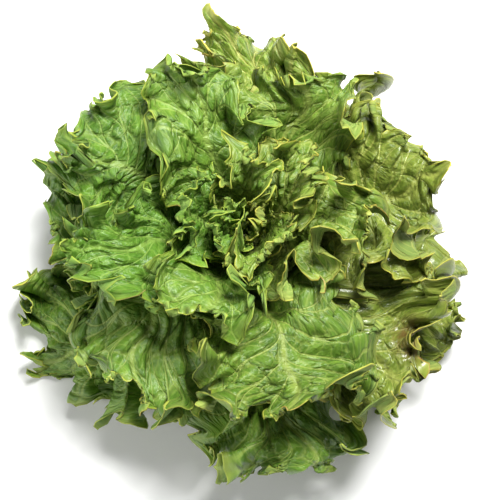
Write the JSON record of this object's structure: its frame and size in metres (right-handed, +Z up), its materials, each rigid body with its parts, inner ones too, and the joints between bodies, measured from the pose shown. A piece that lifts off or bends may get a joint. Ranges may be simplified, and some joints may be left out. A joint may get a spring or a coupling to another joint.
{
  "type": "green leaf lettuce head",
  "caption": "Head of green leaf lettuce: a rosette of broad, blistered leaves with frilled, toothed margins round a sunken heart, standing on its short cut stem.",
  "frame": {"origin": "middle of the stem's cut face, which stands on the table", "axes": "+Z up the stem, out of the heart; the picture looks down with +X to its right and +Y to its top"},
  "size_m": [0.2799, 0.2808, 0.139],
  "materials": {
    "leaf_green": "fresh mid-green leaf, waxy sheen, pale veins, thin yellow-green rim",
    "leaf_olive": "olive yellow-green leaf, strongly blistered, wet-looking sheen, thin yellow rim",
    "leaf_heart": "lighter young leaf, soft sheen, crinkled, yellow rim",
    "stem": "pale cream-green flesh, matt, with a cut face browned at its rim"
  },
  "bodies": {
    "root": {"stem": "stem", "outer_leaf_01": "leaf_green", "outer_leaf_02": "leaf_olive", "outer_leaf_03": "leaf_green", "outer_leaf_04": "leaf_green", "outer_leaf_05": "leaf_olive", "outer_leaf_06": "leaf_green", "outer_leaf_07": "leaf_olive", "outer_leaf_08": "leaf_green", "outer_leaf_09": "leaf_green", "outer_leaf_10": "leaf_olive", "outer_leaf_11": "leaf_green", "outer_leaf_12": "leaf_green", "heart_leaf_01": "leaf_heart", "heart_leaf_02": "leaf_heart", "heart_leaf_03": "leaf_heart", "heart_leaf_04": "leaf_heart", "heart_leaf_05": "leaf_heart", "heart_leaf_06": "leaf_heart", "heart_leaf_07": "leaf_heart", "heart_leaf_08": "leaf_heart", "heart_leaf_09": "leaf_heart", "heart_leaf_10": "leaf_heart", "heart_leaf_11": "leaf_heart", "heart_leaf_12": "leaf_heart"}
  },
  "joints": []
}
